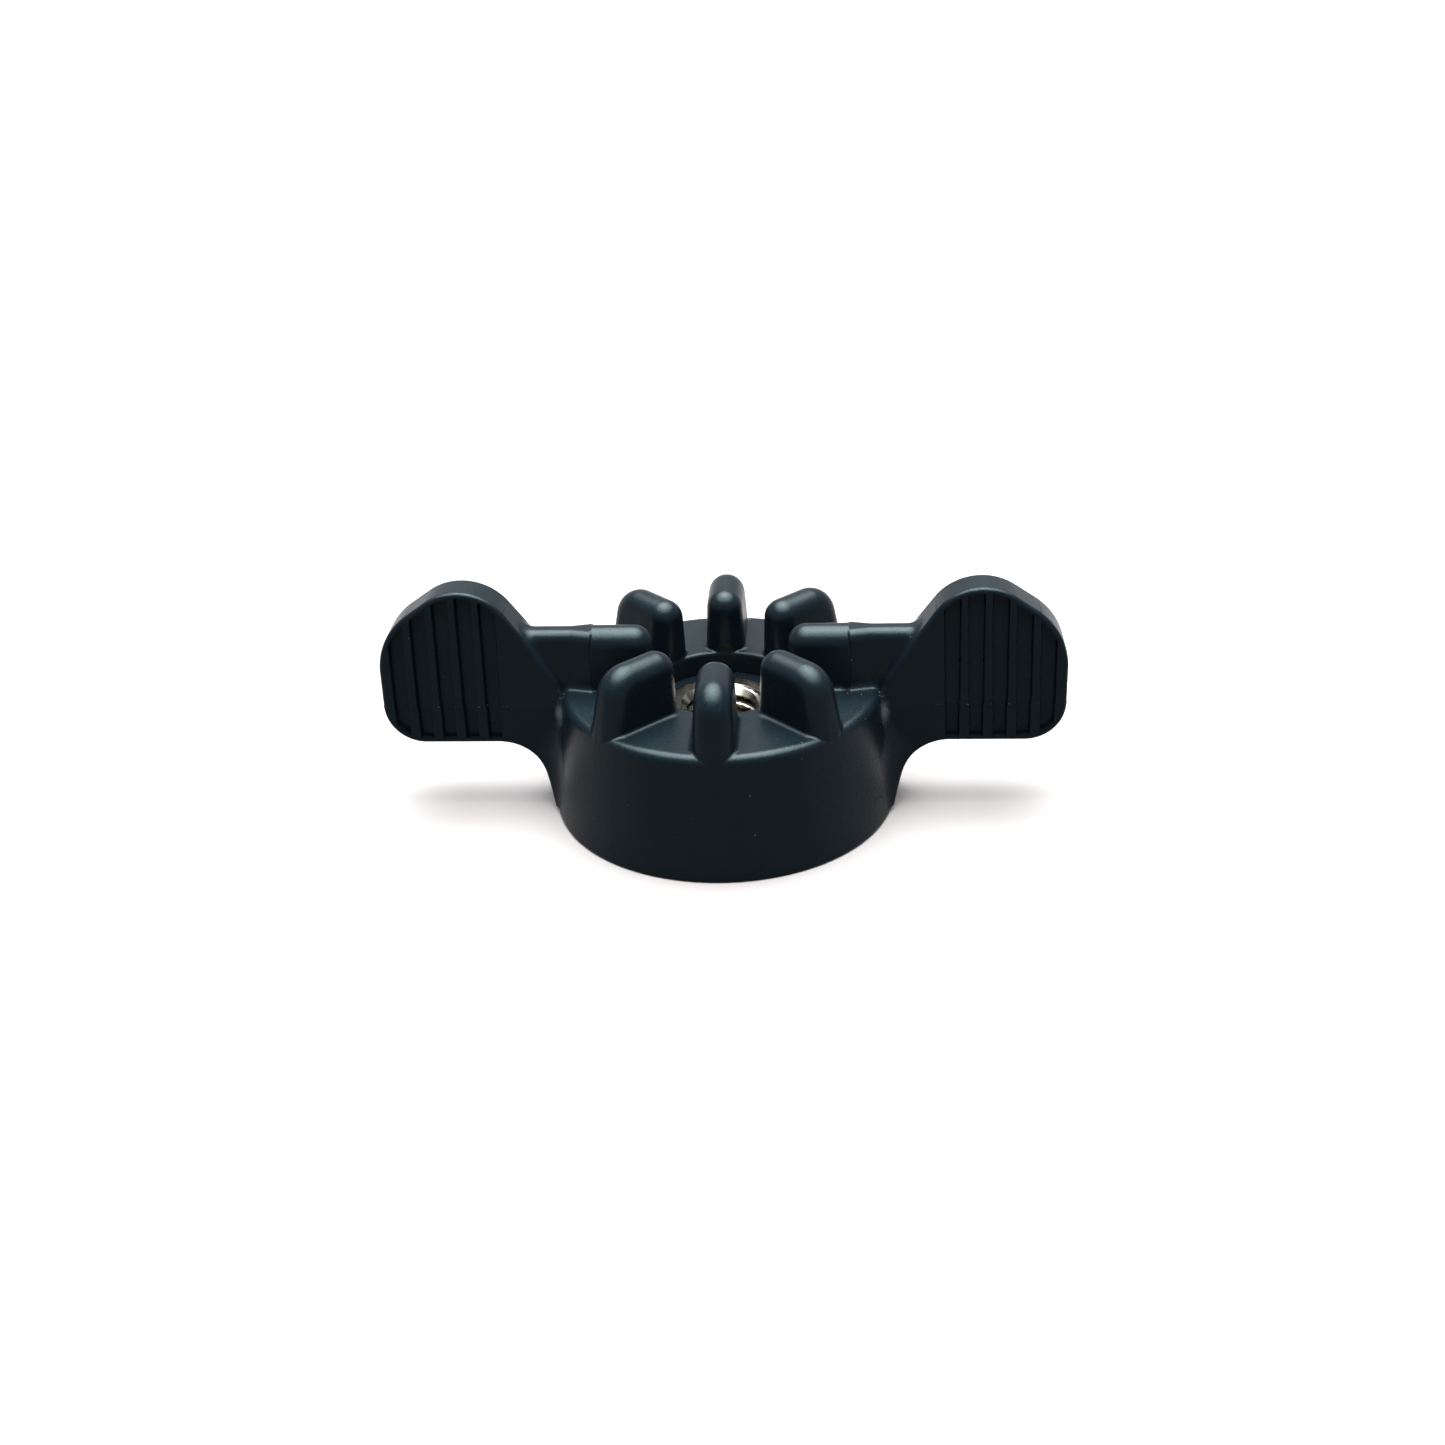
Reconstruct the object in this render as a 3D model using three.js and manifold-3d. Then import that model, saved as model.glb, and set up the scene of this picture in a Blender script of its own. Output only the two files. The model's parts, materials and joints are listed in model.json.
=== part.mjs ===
// Wing nut: a moulded plastic body with two grooved wings and a ribbed round hub, moulded
// around a knurled metal insert that carries an M8 thread.
// Millimetres, +Z up, wings along X. The origin is the middle of the hub's flat underside.
import * as THREE from "three";
import { mergeVertices } from "three/addons/utils/BufferGeometryUtils.js";
import Module from "manifold-3d";

const wasm = await Module();
wasm.setup();

// ---- driving dimensions ----

// Hub: a low cone frustum with a round well in its top.
const HUB_FOOT_RADIUS = 17.0;
const HUB_TAPER = 1.4;
const HUB_HEIGHT = 12.6;
const HUB_RIM_ROUND = 0.8;
const HUB_FOOT_CHAMFER = 0.4;
const WELL_LEDGE = 0.6;
const WELL_DEPTH = 2.3;

// Ribs that stand on the hub like spokes, from the well to the rim, with rounded noses.
const RIB_COUNT = 8;
const RIB_HEIGHT = 6.05;
const RIB_CREST_WIDTH = 3.4;
const RIB_ROOT_WIDTH = 4.0;
const RIB_CREST_ROUND = 1.4;
const RIB_NOSE_RADIUS = 1.7;
const RIB_SHOULDER_RADIUS = 3.0;
const RIB_END_DRAFT = THREE.MathUtils.degToRad(12);
const RIB_SETBACK = 0.15;
const RIB_NOSE_SETBACK = 0.1;

// Web: the thin wall that ties each wing to the rib beside it.
const WEB_CREST_WIDTH = 2.5;
const WEB_ROOT_WIDTH = 3.2;
const WEB_CREST_ROUND = 0.9;

// Wing: a drafted plate, thickest along its parting line. Its top rises above the ribs and
// its underside and parting line lie below the hub's rim.
const WING_TIP_X = 33.45;
const WING_RISE = 4.4;
const WING_DROP = 5.55;
const PARTING_DROP = 1.55;
const WING_CROWN_SETBACK = 8.35;
const WING_CROWN_RADIUS = 5.5;
const WING_SHOULDER_RADIUS = 7.3;
const WING_SHOULDER_DROP = 8.35;
const WING_CORNER_RADIUS = 3.9;
const NOTCH_REACH = 0.6;
const WING_THICKNESS = 4.74;
const WING_TOP_THICKNESS = 3.6;
const WING_FOOT_THICKNESS = 4.5;
const WING_EDGE_ROUND = 0.5;

// Gusset: the hollow curve under each wing that runs down the hub.
const GUSSET_RADIUS = 4.8;
const GUSSET_CLEAR_X = 5.3;
const GUSSET_TOE_Z = 0.6;
const GUSSET_TOE_ANGLE = THREE.MathUtils.degToRad(75);

// Grip grooves on both faces of each wing, which widen upwards so that the mould draws off.
const GROOVE_COUNT = 5;
const GROOVE_PITCH = 2.28;
const GROOVE_TIP_SETBACK = 1.81;
const GROOVE_WIDTH = 1.45;
const GROOVE_TOP_WIDTH = 1.7;
const GROOVE_TOP_SHIFT = -0.3;
const GROOVE_DEPTH = 0.65;
const GROOVE_EDGE_MARGIN = 0.55;
const GROOVE_FOOT_MARGIN = 0.4;

// Insert: a turned sleeve with two knurled bands, a waist between them and a tapped bore.
const INSERT_RADIUS = 6.0;
const KNURL_DEPTH = 0.45;
const WAIST_DEPTH = 1.1;
const INSERT_COLLAR = 0.8;
const INSERT_WAIST_HEIGHT = 1.6;
const INSERT_BORE_RADIUS = 3.4;
const INSERT_CHAMFER = 0.75;
const KNURL_TEETH = 24;
const MOULD_CLEARANCE = 0.1;

// Cores that hollow the hub from below, one between each pair of ribs.
const CORE_ROOF = 3.0;
const CORE_OUTER_WALL = 3.1;
const CORE_BOSS_WALL = 2.3;
const CORE_SPOKE_WIDTH = 2.8;
const CORE_DRAFT = 0.35;

// How finely round shapes are cut into flats.
const HUB_SEGMENTS = 64;
const INSERT_SEGMENTS = 48;
const ARC_STEPS = 6;
const ROUND_STEPS = 3;

// ---- derived dimensions ----

const HUB_RIM_RADIUS = HUB_FOOT_RADIUS - HUB_TAPER;
const WELL_RADIUS = INSERT_RADIUS + WELL_LEDGE;
const WELL_FLOOR_Z = HUB_HEIGHT - WELL_DEPTH;
const RIB_TOP_Z = HUB_HEIGHT + RIB_HEIGHT;
const RIB_NOSE_X = WELL_RADIUS + RIB_NOSE_SETBACK;
const WEB_START_X = RIB_NOSE_X + RIB_NOSE_RADIUS;
const WING_TOP_Z = RIB_TOP_Z + WING_RISE;
const WING_UNDERSIDE_Z = HUB_HEIGHT - WING_DROP;
const PARTING_Z = HUB_HEIGHT - PARTING_DROP;
const WING_SHOULDER_Z = WING_TOP_Z - WING_SHOULDER_DROP;
const WING_CROWN_X = WING_TIP_X - WING_CROWN_SETBACK;
const GROOVE_FIRST_X = WING_TIP_X - GROOVE_TIP_SETBACK - (GROOVE_COUNT - 1) * GROOVE_PITCH;
const INSERT_HEIGHT = WELL_FLOOR_Z;
const INSERT_CORE_RADIUS = INSERT_RADIUS - KNURL_DEPTH;
const INSERT_WAIST_RADIUS = INSERT_RADIUS - WAIST_DEPTH;
const HALF_TURN = Math.PI;
const RIB_STEP = (2 * Math.PI) / RIB_COUNT;
const BEYOND = 5;

// ---- helpers ----

// A closed geometry as a solid that can be joined and cut.
function solid(geometry) {
  const bare = geometry.clone();
  bare.deleteAttribute("normal");
  bare.deleteAttribute("uv");
  const merged = mergeVertices(bare, 1e-3);
  return new wasm.Manifold(
    new wasm.Mesh({
      numProp: 3,
      vertProperties: merged.attributes.position.array,
      triVerts: new Uint32Array(merged.index.array),
    }),
  );
}

// A solid's surface as a geometry.
function geometryOf(body) {
  const mesh = body.getMesh();
  const geometry = new THREE.BufferGeometry();
  geometry.setAttribute("position", new THREE.BufferAttribute(mesh.vertProperties, 3));
  geometry.setIndex(new THREE.BufferAttribute(mesh.triVerts, 1));
  return geometry;
}

// A profile of [radius, height] points turned about Z.
function turned(points, segments) {
  const profile = points.map(([radius, height]) => new THREE.Vector2(radius, height));
  return solid(new THREE.LatheGeometry(profile, segments).rotateX(Math.PI / 2));
}

// A plain disc between two heights.
function disc(radius, low, high, segments) {
  return turned([[0, low], [radius, low], [radius, high], [0, high]], segments);
}

// An outline in the XZ plane given its width along Y, with edges rounded inside the outline.
function plate(outline, width, round) {
  const geometry = new THREE.ExtrudeGeometry(outline, {
    depth: width - 2 * round,
    bevelEnabled: round > 0,
    bevelThickness: round,
    bevelSize: round,
    bevelOffset: -round,
    bevelSegments: ROUND_STEPS,
    curveSegments: ARC_STEPS,
  });
  geometry.translate(0, 0, round - width / 2);
  return solid(geometry.rotateX(Math.PI / 2));
}

// A block from one corner to the other.
function block(low, high) {
  const size = high.map((value, i) => value - low[i]);
  const geometry = new THREE.BoxGeometry(...size);
  geometry.translate(...low.map((value, i) => value + size[i] / 2));
  return solid(geometry);
}

// The same solid with its width along Y scaled by a factor that changes evenly with height.
function tapered(body, lowZ, lowScale, highZ, highScale) {
  const geometry = geometryOf(body);
  const position = geometry.attributes.position;
  for (let i = 0; i < position.count; i += 1) {
    const share = (position.getZ(i) - lowZ) / (highZ - lowZ);
    position.setY(i, position.getY(i) * THREE.MathUtils.lerp(lowScale, highScale, share));
  }
  return solid(geometry);
}

// The same solid turned about Z.
function spun(body, angle) {
  return solid(geometryOf(body).rotateZ(angle));
}

// Several solids as one.
function joined(bodies) {
  return bodies.reduce((sum, body) => sum.add(body));
}

// ---- moulded body ----

// The hub before it is hollowed: foot chamfer, drafted wall and rounded rim.
function hub() {
  const rim = [];
  for (let i = 0; i <= ROUND_STEPS; i += 1) {
    const angle = (Math.PI / 2) * (i / ROUND_STEPS);
    rim.push([
      HUB_RIM_RADIUS - HUB_RIM_ROUND * (1 - Math.cos(angle)),
      HUB_HEIGHT - HUB_RIM_ROUND * (1 - Math.sin(angle)),
    ]);
  }
  const foot = [
    [0, 0],
    [HUB_FOOT_RADIUS - HUB_FOOT_CHAMFER, 0],
    [HUB_FOOT_RADIUS, HUB_FOOT_CHAMFER],
  ];
  return turned([...foot, ...rim, [0, HUB_HEIGHT]], HUB_SEGMENTS);
}

// One rib along +X: rounded nose, flat crest, round shoulder and a drafted outer end.
function rib() {
  const rootZ = HUB_HEIGHT - 2 * RIB_CREST_ROUND;
  const footX = HUB_RIM_RADIUS - RIB_SETBACK;
  const centreZ = RIB_TOP_Z - RIB_SHOULDER_RADIUS;
  const lean = (centreZ - HUB_HEIGHT) * Math.tan(RIB_END_DRAFT);
  const centreX = footX - lean - RIB_SHOULDER_RADIUS / Math.cos(RIB_END_DRAFT);
  const noseX = RIB_NOSE_X + RIB_NOSE_RADIUS;
  const noseZ = RIB_TOP_Z - RIB_NOSE_RADIUS;
  const outline = new THREE.Shape();
  outline.moveTo(RIB_NOSE_X, rootZ);
  outline.lineTo(footX, rootZ);
  outline.lineTo(footX, HUB_HEIGHT);
  outline.absarc(centreX, centreZ, RIB_SHOULDER_RADIUS, RIB_END_DRAFT, Math.PI / 2, false);
  outline.absarc(noseX, noseZ, RIB_NOSE_RADIUS, Math.PI / 2, Math.PI, false);
  const body = plate(outline, RIB_CREST_WIDTH, RIB_CREST_ROUND);
  return tapered(body, HUB_HEIGHT, RIB_ROOT_WIDTH / RIB_CREST_WIDTH, RIB_TOP_Z, 1);
}

// The web along +X, from inside the rib to inside the wing.
function web() {
  const rootZ = HUB_HEIGHT - 2 * WEB_CREST_ROUND;
  const outline = new THREE.Shape();
  outline.moveTo(WEB_START_X, rootZ);
  outline.lineTo(WING_CROWN_X, rootZ);
  outline.lineTo(WING_CROWN_X, RIB_TOP_Z);
  outline.lineTo(WEB_START_X, RIB_TOP_Z);
  const body = plate(outline, WEB_CREST_WIDTH, WEB_CREST_ROUND);
  return tapered(body, HUB_HEIGHT, WEB_ROOT_WIDTH / WEB_CREST_WIDTH, RIB_TOP_Z, 1);
}

// The +X wing's outline, drawn in by a margin: gusset, underside, lower corner, tip, shoulder,
// crown, the straight flank from the crown down to the web's top, and the slope to the hub's rim.
function wingOutline(margin) {
  const crownZ = WING_TOP_Z - WING_CROWN_RADIUS;
  const shoulderX = WING_TIP_X - WING_SHOULDER_RADIUS;
  const cornerX = WING_TIP_X - WING_CORNER_RADIUS;
  const cornerZ = WING_UNDERSIDE_Z + WING_CORNER_RADIUS;
  const gussetX = HUB_FOOT_RADIUS + GUSSET_CLEAR_X;
  const gussetZ = WING_UNDERSIDE_Z - GUSSET_RADIUS;
  const between = new THREE.Vector2(WING_CROWN_X - shoulderX, crownZ - WING_SHOULDER_Z);
  const tangent =
    between.angle() - Math.acos((WING_SHOULDER_RADIUS - WING_CROWN_RADIUS) / between.length());
  const crossing = Math.sqrt(WING_CROWN_RADIUS ** 2 - (RIB_TOP_Z - crownZ) ** 2);
  const toNotch = new THREE.Vector2(-crossing - NOTCH_REACH, RIB_TOP_Z - crownZ);
  const flank = toNotch.angle() - Math.acos(WING_CROWN_RADIUS / toNotch.length());
  const toe = Math.PI / 2 + GUSSET_TOE_ANGLE;
  const toeDrop = gussetZ + GUSSET_RADIUS * Math.sin(toe) - GUSSET_TOE_Z;
  const toeX = gussetX + GUSSET_RADIUS * Math.cos(toe) - toeDrop / Math.tan(GUSSET_TOE_ANGLE);
  const outline = new THREE.Shape();
  outline.moveTo(HUB_RIM_RADIUS - BEYOND, GUSSET_TOE_Z);
  outline.lineTo(toeX, GUSSET_TOE_Z);
  outline.absarc(gussetX, gussetZ, GUSSET_RADIUS, toe, Math.PI / 2, true);
  outline.absarc(cornerX, cornerZ, WING_CORNER_RADIUS - margin, -Math.PI / 2, 0, false);
  outline.absarc(shoulderX, WING_SHOULDER_Z, WING_SHOULDER_RADIUS - margin, 0, tangent, false);
  outline.absarc(WING_CROWN_X, crownZ, WING_CROWN_RADIUS - margin, tangent, flank, false);
  outline.lineTo(WING_CROWN_X + toNotch.x, RIB_TOP_Z);
  outline.lineTo(HUB_RIM_RADIUS, HUB_HEIGHT - HUB_RIM_ROUND);
  outline.lineTo(HUB_RIM_RADIUS - BEYOND, HUB_HEIGHT - HUB_RIM_ROUND);
  return outline;
}

// One wing's grooves, on both faces: slots that end just above the underside and below the crown.
function grooves() {
  const slots = [];
  const footZ = WING_UNDERSIDE_Z + GROOVE_FOOT_MARGIN;
  for (let i = 0; i < GROOVE_COUNT; i += 1) {
    const x = GROOVE_FIRST_X + i * GROOVE_PITCH;
    const slot = new THREE.Shape();
    slot.moveTo(x - GROOVE_WIDTH / 2, footZ);
    slot.lineTo(x + GROOVE_WIDTH / 2, footZ);
    slot.lineTo(x + GROOVE_WIDTH / 2, PARTING_Z);
    slot.lineTo(x + GROOVE_TOP_SHIFT + GROOVE_TOP_WIDTH / 2, WING_TOP_Z);
    slot.lineTo(x + GROOVE_TOP_SHIFT - GROOVE_TOP_WIDTH / 2, WING_TOP_Z);
    slot.lineTo(x - GROOVE_WIDTH / 2, PARTING_Z);
    slots.push(plate(slot, 2 * WING_THICKNESS, 0));
  }
  const field = plate(wingOutline(GROOVE_EDGE_MARGIN), 2 * WING_THICKNESS, 0);
  const below = block(
    [HUB_FOOT_RADIUS, -WING_THICKNESS, 0],
    [WING_TIP_X - WING_CORNER_RADIUS, WING_THICKNESS, PARTING_Z],
  );
  const core = WING_THICKNESS / 2 - GROOVE_DEPTH;
  const keep = block([0, -core, 0], [WING_TIP_X, core, WING_TOP_Z]);
  return joined(slots).intersect(field.add(below)).subtract(keep);
}

// The +X wing with its grooves, thinned above and below the parting line.
function wing() {
  const whole = plate(wingOutline(0), WING_THICKNESS, WING_EDGE_ROUND).subtract(grooves());
  const above = block(
    [0, -WING_THICKNESS, PARTING_Z],
    [WING_TIP_X + BEYOND, WING_THICKNESS, WING_TOP_Z + BEYOND],
  );
  const topScale = WING_TOP_THICKNESS / WING_THICKNESS;
  const footScale = WING_FOOT_THICKNESS / WING_THICKNESS;
  const upper = tapered(whole.intersect(above), PARTING_Z, 1, WING_TOP_Z, topScale);
  const lower = tapered(whole.subtract(above), WING_UNDERSIDE_Z, footScale, PARTING_Z, 1);
  return upper.add(lower);
}

// The space that the insert takes up in the body: it follows the collars, the knurled bands and
// the waist, with the mould clearance all round.
function insertSeat() {
  const [lowBand, highBand] = knurlBands();
  const collar = INSERT_CORE_RADIUS + MOULD_CLEARANCE;
  const band = INSERT_RADIUS + MOULD_CLEARANCE;
  const waist = INSERT_WAIST_RADIUS + MOULD_CLEARANCE;
  return turned(
    [
      [0, -BEYOND],
      [collar, -BEYOND],
      [collar, lowBand[0] - MOULD_CLEARANCE],
      [band, lowBand[0] - MOULD_CLEARANCE],
      [band, lowBand[1] + MOULD_CLEARANCE],
      [waist, lowBand[1] + MOULD_CLEARANCE],
      [waist, highBand[0] - MOULD_CLEARANCE],
      [band, highBand[0] - MOULD_CLEARANCE],
      [band, highBand[1] + MOULD_CLEARANCE],
      [collar, highBand[1] + MOULD_CLEARANCE],
      [collar, WELL_FLOOR_Z + BEYOND],
      [0, WELL_FLOOR_Z + BEYOND],
    ],
    INSERT_SEGMENTS,
  );
}

// The pockets in the underside: a drafted ring cut into sectors by spokes below the ribs.
function cores() {
  const inner = INSERT_RADIUS + CORE_BOSS_WALL;
  const outer = HUB_FOOT_RADIUS - CORE_OUTER_WALL;
  const roofZ = HUB_HEIGHT - CORE_ROOF;
  const ring = turned(
    [
      [inner, -BEYOND],
      [outer, -BEYOND],
      [outer, 0],
      [outer - CORE_DRAFT - HUB_TAPER, roofZ],
      [inner + CORE_DRAFT, roofZ],
      [inner, 0],
      [inner, -BEYOND],
    ],
    HUB_SEGMENTS,
  );
  const half = CORE_SPOKE_WIDTH / 2;
  const spoke = block([0, -half, -2 * BEYOND], [HUB_FOOT_RADIUS, half, HUB_HEIGHT]);
  const spokes = [];
  for (let i = 0; i < RIB_COUNT; i += 1) {
    spokes.push(spun(spoke, i * RIB_STEP));
  }
  return ring.subtract(joined(spokes));
}

// The whole moulding: hub, ribs, webs and wings, less the well, the cores and the insert's seat.
function mouldedBody() {
  const pieces = [hub()];
  for (let i = 0; i < RIB_COUNT; i += 1) {
    pieces.push(spun(rib(), i * RIB_STEP));
  }
  for (const angle of [0, HALF_TURN]) {
    pieces.push(spun(web(), angle));
    pieces.push(spun(wing(), angle));
  }
  const well = disc(WELL_RADIUS, WELL_FLOOR_Z, HUB_HEIGHT + BEYOND, HUB_SEGMENTS);
  return joined(pieces).subtract(well).subtract(cores()).subtract(insertSeat());
}

// ---- threaded insert ----

// The heights of the two knurled bands, as [low, high].
function knurlBands() {
  const band = (INSERT_HEIGHT - 2 * INSERT_COLLAR - INSERT_WAIST_HEIGHT) / 2;
  return [
    [INSERT_COLLAR, INSERT_COLLAR + band],
    [INSERT_HEIGHT - INSERT_COLLAR - band, INSERT_HEIGHT - INSERT_COLLAR],
  ];
}

// A knurled band: a disc whose edge is cut into straight pointed teeth.
function knurl([low, high]) {
  const outline = new THREE.Shape();
  for (let i = 0; i < 2 * KNURL_TEETH; i += 1) {
    const radius = i % 2 === 0 ? INSERT_RADIUS : INSERT_CORE_RADIUS;
    const angle = (Math.PI * i) / KNURL_TEETH;
    const corner = [radius * Math.cos(angle), radius * Math.sin(angle)];
    if (i === 0) outline.moveTo(...corner);
    else outline.lineTo(...corner);
  }
  const geometry = new THREE.ExtrudeGeometry(outline, { depth: high - low, bevelEnabled: false });
  return solid(geometry.translate(0, 0, low));
}

// The sleeve: plain collars at both faces, knurled bands, waist and a chamfered bore.
function threadedInsert() {
  const [lowBand, highBand] = knurlBands();
  const sleeve = turned(
    [
      [0, 0],
      [INSERT_CORE_RADIUS, 0],
      [INSERT_CORE_RADIUS, lowBand[1]],
      [INSERT_WAIST_RADIUS, lowBand[1]],
      [INSERT_WAIST_RADIUS, highBand[0]],
      [INSERT_CORE_RADIUS, highBand[0]],
      [INSERT_CORE_RADIUS, INSERT_HEIGHT],
      [0, INSERT_HEIGHT],
    ],
    INSERT_SEGMENTS,
  );
  const mouth = INSERT_BORE_RADIUS + INSERT_CHAMFER;
  const bore = turned(
    [
      [0, -INSERT_CHAMFER],
      [mouth + INSERT_CHAMFER, -INSERT_CHAMFER],
      [INSERT_BORE_RADIUS, INSERT_CHAMFER],
      [INSERT_BORE_RADIUS, INSERT_HEIGHT - INSERT_CHAMFER],
      [mouth + INSERT_CHAMFER, INSERT_HEIGHT + INSERT_CHAMFER],
      [0, INSERT_HEIGHT + INSERT_CHAMFER],
    ],
    INSERT_SEGMENTS,
  );
  return joined([sleeve, knurl(lowBand), knurl(highBand)]).subtract(bore);
}

// ---- the assembly ----

// A named mesh with its own material.
function piece(name, body, color, roughness, metalness) {
  const material = new THREE.MeshStandardMaterial({ color, roughness, metalness });
  const geometry = geometryOf(body);
  geometry.computeVertexNormals();
  const mesh = new THREE.Mesh(geometry, material);
  mesh.name = name;
  return mesh;
}

const wingNut = new THREE.Group();
wingNut.add(piece("moulded_wing_body", mouldedBody(), 0x1d2224, 0.55, 0));
wingNut.add(piece("threaded_insert", threadedInsert(), 0xb9b4a6, 0.3, 1));

export default wingNut;
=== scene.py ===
"""Looks of the wing nut: a moulded body with ribs and grooved wings round a threaded insert.

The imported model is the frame. The body is drawn as a field of distances, so that every fillet and
rounded edge of the moulding is there, and the insert as a grid round its axis with a real thread.
"""

from __future__ import annotations
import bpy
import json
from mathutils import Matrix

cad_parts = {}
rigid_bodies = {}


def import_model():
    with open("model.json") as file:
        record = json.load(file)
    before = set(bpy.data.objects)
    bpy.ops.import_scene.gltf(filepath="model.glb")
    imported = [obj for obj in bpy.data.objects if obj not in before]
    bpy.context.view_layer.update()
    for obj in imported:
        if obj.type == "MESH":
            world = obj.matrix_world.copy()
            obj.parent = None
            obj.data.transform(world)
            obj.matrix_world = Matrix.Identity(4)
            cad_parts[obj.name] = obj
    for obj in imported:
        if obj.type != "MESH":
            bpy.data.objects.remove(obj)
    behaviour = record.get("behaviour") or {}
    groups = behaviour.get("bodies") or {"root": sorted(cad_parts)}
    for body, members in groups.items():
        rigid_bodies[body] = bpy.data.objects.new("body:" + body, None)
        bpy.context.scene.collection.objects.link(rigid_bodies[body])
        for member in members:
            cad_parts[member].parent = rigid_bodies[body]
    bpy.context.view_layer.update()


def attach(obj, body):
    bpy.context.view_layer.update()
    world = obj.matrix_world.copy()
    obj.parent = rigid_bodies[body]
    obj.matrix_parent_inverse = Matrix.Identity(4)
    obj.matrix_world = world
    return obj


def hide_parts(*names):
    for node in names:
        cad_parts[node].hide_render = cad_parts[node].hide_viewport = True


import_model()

import json
import logging
import math
from dataclasses import dataclass, field
from enum import Enum
from typing import ClassVar

import bpy
import numpy as np
from mathutils import Matrix, Vector

Array = np.ndarray
Pair = tuple[float, float]

LOG = logging.getLogger("wing_nut")
MM = 0.001
BODY = "root"
RIB_TURN = math.pi / 4
TINY = 1e-12


# ---- rounded joins and cuts of distance fields ----


def filleted(a: Array, b: Array, radius: Array | float) -> Array:
    """Joins two solids with a fillet of that radius where they meet.

    The formula is the lesser distance less the arc's bite:
    max(r, min(a, b)) - |max(r - a, 0), max(r - b, 0)|.

    Args:
        a: Distance to the first solid, negative inside, in mm.
        b: Distance to the second solid, in mm.
        radius: Fillet radius in mm, one number or one for each point.

    Returns:
        Distance to the joined solid, in mm.
    """
    bite = np.hypot(np.maximum(radius - a, 0), np.maximum(radius - b, 0))
    return np.maximum(radius, np.minimum(a, b)) - bite


def rounded(a: Array, b: Array, radius: Array | float) -> Array:
    """Keeps what two solids share, with the edge between them rounded.

    The formula is the greater distance with an arc at the edge:
    min(-r, max(a, b)) + |max(r + a, 0), max(r + b, 0)|.

    Args:
        a: Distance to the first solid, negative inside, in mm.
        b: Distance to the second solid, in mm.
        radius: Edge radius in mm, one number or one for each point.

    Returns:
        Distance to the shared solid, in mm.
    """
    arc = np.hypot(np.maximum(radius + a, 0), np.maximum(radius + b, 0))
    return np.minimum(-radius, np.maximum(a, b)) + arc


def ramp(value: Array, start: float, end: float) -> Array:
    """A share that goes evenly from 0 at start to 1 at end and is held outside them."""
    return np.clip((value - start) / (end - start), 0.0, 1.0)


@dataclass(frozen=True)
class Arc:
    """One corner of an outline: an arc about a centre, in mm and degrees.

    A radius of 0 is a point.
    """

    u: float
    w: float
    radius: float = 0.0
    start: float = 0.0
    end: float = 0.0

    def points(self, step: float = 1.0) -> Array:
        """The arc's points, evenly spaced in angle.

        Args:
            step: About how many degrees lie between two points.

        Returns:
            The points, one row each, in mm.
        """
        count = max(2, int(abs(self.end - self.start) / step) + 1) if self.radius else 1
        angle = np.radians(np.linspace(self.start, self.end, count))
        return np.stack(
            [self.u + self.radius * np.cos(angle), self.w + self.radius * np.sin(angle)], axis=1
        )


class Outline:
    """A closed flat outline that gives the distance of any point from it, negative inside.

    The distances are worked out once on a fine flat grid.
    """

    PITCH: ClassVar[float] = 0.05
    MARGIN: ClassVar[float] = 3.0
    FAR: ClassVar[float] = 1e9

    def __init__(self, corners: list[Arc]) -> None:
        """Works out the grid of distances.

        Args:
            corners: The outline's corners in order, joined by straight lines.
        """
        ring = np.concatenate([corner.points() for corner in corners])
        self.low = ring.min(axis=0) - self.MARGIN
        size = np.ceil((ring.max(axis=0) + self.MARGIN - self.low) / self.PITCH).astype(int)
        u = (self.low[0] + self.PITCH * np.arange(size[0]))[:, None]
        w = (self.low[1] + self.PITCH * np.arange(size[1]))[None, :]
        nearest = np.full((size[0], size[1]), self.FAR)
        inside = np.zeros(nearest.shape, bool)
        for (u0, w0), (u1, w1) in zip(ring, np.roll(ring, -1, axis=0)):
            du, dw = u1 - u0, w1 - w0
            length = du * du + dw * dw
            if length < TINY:
                continue
            share = np.clip(((u - u0) * du + (w - w0) * dw) / length, 0, 1)
            nearest = np.minimum(nearest, np.hypot(u - u0 - share * du, w - w0 - share * dw))
            spans = (w0 > w) != (w1 > w)
            if abs(dw) > TINY:
                inside ^= spans & (u < u0 + (w - w0) * du / dw)
        self.grid = np.where(inside, -nearest, nearest).astype(np.float32)

    def distance(self, u: Array, w: Array) -> Array:
        """Distance of points from the outline, blended evenly between the grid's points.

        Args:
            u: The points' first coordinate in mm.
            w: The points' second coordinate in mm.

        Returns:
            The distances in mm, negative inside.
        """
        a = np.clip((u - self.low[0]) / self.PITCH, 0, self.grid.shape[0] - 1.001)
        b = np.clip((w - self.low[1]) / self.PITCH, 0, self.grid.shape[1] - 1.001)
        a, b = np.broadcast_arrays(a, b)
        i, j = a.astype(int), b.astype(int)
        s, t = a - i, b - j
        near = self.grid[i, j] * (1 - t) + self.grid[i, j + 1] * t
        far = self.grid[i + 1, j] * (1 - t) + self.grid[i + 1, j + 1] * t
        return near * (1 - s) + far * s


# ---- the moulded body ----


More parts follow.
